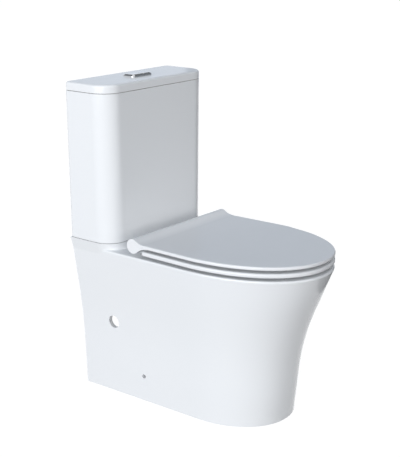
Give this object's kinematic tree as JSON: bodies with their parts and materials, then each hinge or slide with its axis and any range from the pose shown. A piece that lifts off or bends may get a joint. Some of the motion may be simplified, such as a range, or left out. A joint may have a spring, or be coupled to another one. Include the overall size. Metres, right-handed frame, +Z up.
{
  "type": "close-coupled toilet",
  "caption": "Close-coupled toilet: skirted back-to-wall china pan, slim seat and lid on a barrel hinge, and a cistern with dual-flush push buttons.",
  "frame": {"origin": "middle of the bounding box on the floor", "axes": "+Z up, the toilet faces -Y and its back stands against a wall on the +Y side, X across its width"},
  "size_m": [0.388, 0.6468, 0.8208],
  "materials": {
    "china": "white glaze, high gloss",
    "seat_resin": "white moulded resin, gloss",
    "chrome": "polished plating",
    "steel": "stainless steel, plain",
    "black_rubber": "soft black rubber",
    "grey_buffer": "soft grey rubber",
    "valve_plastic": "natural white moulding",
    "blue_plastic": "blue moulding",
    "damper_plastic": "dark grey moulding"
  },
  "bodies": {
    "base": {"pan": "china", "cistern_tank": "china", "tank_pads": "black_rubber", "tank_gasket": "black_rubber", "cistern_bolts": "steel", "bolt_seals": "black_rubber", "bolt_washers": "steel", "wing_nuts": "valve_plastic", "valve_base": "valve_plastic", "valve_washer": "black_rubber", "valve_nut": "valve_plastic", "valve_tower": "valve_plastic", "lever_pin": "steel", "fill_body": "valve_plastic", "fill_washer": "black_rubber", "fill_nut": "valve_plastic", "fill_head": "valve_plastic", "fill_pin": "steel", "hinge_posts": "chrome", "hinge_pins": "steel", "hinge_roses": "chrome", "hinge_bolts": "steel", "hinge_bushes": "black_rubber", "floor_brackets": "damper_plastic", "side_screws": "steel"},
    "seat_ring": {"seat_ring": "seat_resin", "ring_buffers": "grey_buffer", "ring_dampers": "damper_plastic"},
    "seat_lid": {"seat_lid": "seat_resin", "lid_buffers": "grey_buffer", "lid_dampers": "damper_plastic"},
    "cistern_lid": {"cistern_lid": "china", "lid_pads": "black_rubber", "button_frame": "chrome", "button_clamp": "valve_plastic", "full_spring": "steel", "half_spring": "steel"},
    "full_button": {"full_button": "chrome", "full_rod": "valve_plastic"},
    "half_button": {"half_button": "chrome", "half_rod": "valve_plastic"},
    "full_lever": {"full_lever": "blue_plastic"},
    "half_lever": {"half_lever": "blue_plastic"},
    "overflow_tube": {"overflow_tube": "valve_plastic", "valve_seal": "black_rubber"},
    "half_float": {"half_float": "blue_plastic"},
    "fill_float": {"fill_float": "blue_plastic"},
    "fill_lever": {"fill_lever": "blue_plastic"}
  },
  "joints": [
    {"name": "seat_ring_hinge", "type": "hinge", "parent": "base", "child": "seat_ring", "pos_m": [0, 0.1185, 0.4275], "axis": [-1, 0, 0], "range_deg": [0, 96]},
    {"name": "seat_lid_hinge", "type": "hinge", "parent": "seat_ring", "child": "seat_lid", "pos_m": [0, 0.1185, 0.4275], "axis": [1, 0, 0], "range_deg": [-96, 0]},
    {"name": "cistern_lid_lift", "type": "slide", "parent": "base", "child": "cistern_lid", "axis": [0, 0, 1], "range_m": [0, 0.15]},
    {"name": "full_flush_press", "type": "slide", "parent": "cistern_lid", "child": "full_button", "axis": [0, 0, -1], "range_m": [0, 0.006], "stiffness_N_per_m": 800, "springref_m": -0.002, "deforming": ["full_spring"]},
    {"name": "half_flush_press", "type": "slide", "parent": "cistern_lid", "child": "half_button", "axis": [0, 0, -1], "range_m": [0, 0.006], "stiffness_N_per_m": 800, "springref_m": -0.002, "deforming": ["half_spring"]},
    {"name": "full_lever_turn", "type": "hinge", "parent": "base", "child": "full_lever", "pos_m": [0, 0.2555, 0.72], "axis": [0, -1, 0], "range_deg": [0, 14.4]},
    {"name": "half_lever_turn", "type": "hinge", "parent": "base", "child": "half_lever", "pos_m": [0, 0.2555, 0.72], "axis": [0, 1, 0], "range_deg": [0, 14.4]},
    {"name": "overflow_lift", "type": "slide", "parent": "base", "child": "overflow_tube", "axis": [0, 0, 1], "range_m": [0, 0.0056]},
    {"name": "half_float_lift", "type": "slide", "parent": "base", "child": "half_float", "axis": [0, 0, 1], "range_m": [0, 0.0056]},
    {"name": "fill_float_rise", "type": "slide", "parent": "base", "child": "fill_float", "axis": [0, 0, 1], "range_m": [0, 0.012]},
    {"name": "fill_lever_turn", "type": "hinge", "parent": "base", "child": "fill_lever", "pos_m": [-0.142, 0.2555, 0.727], "axis": [0, -1, 0], "range_deg": [0, 18.2]}
  ],
  "couplings": [
    {"joint": "full_lever_turn", "follows": "full_flush_press", "rad_per_m": 41.667},
    {"joint": "overflow_lift", "follows": "full_flush_press", "ratio": 0.9167},
    {"joint": "half_lever_turn", "follows": "half_flush_press", "rad_per_m": 41.667},
    {"joint": "half_float_lift", "follows": "half_flush_press", "ratio": 0.9167},
    {"joint": "fill_lever_turn", "follows": "fill_float_rise", "rad_per_m": 26.316}
  ]
}
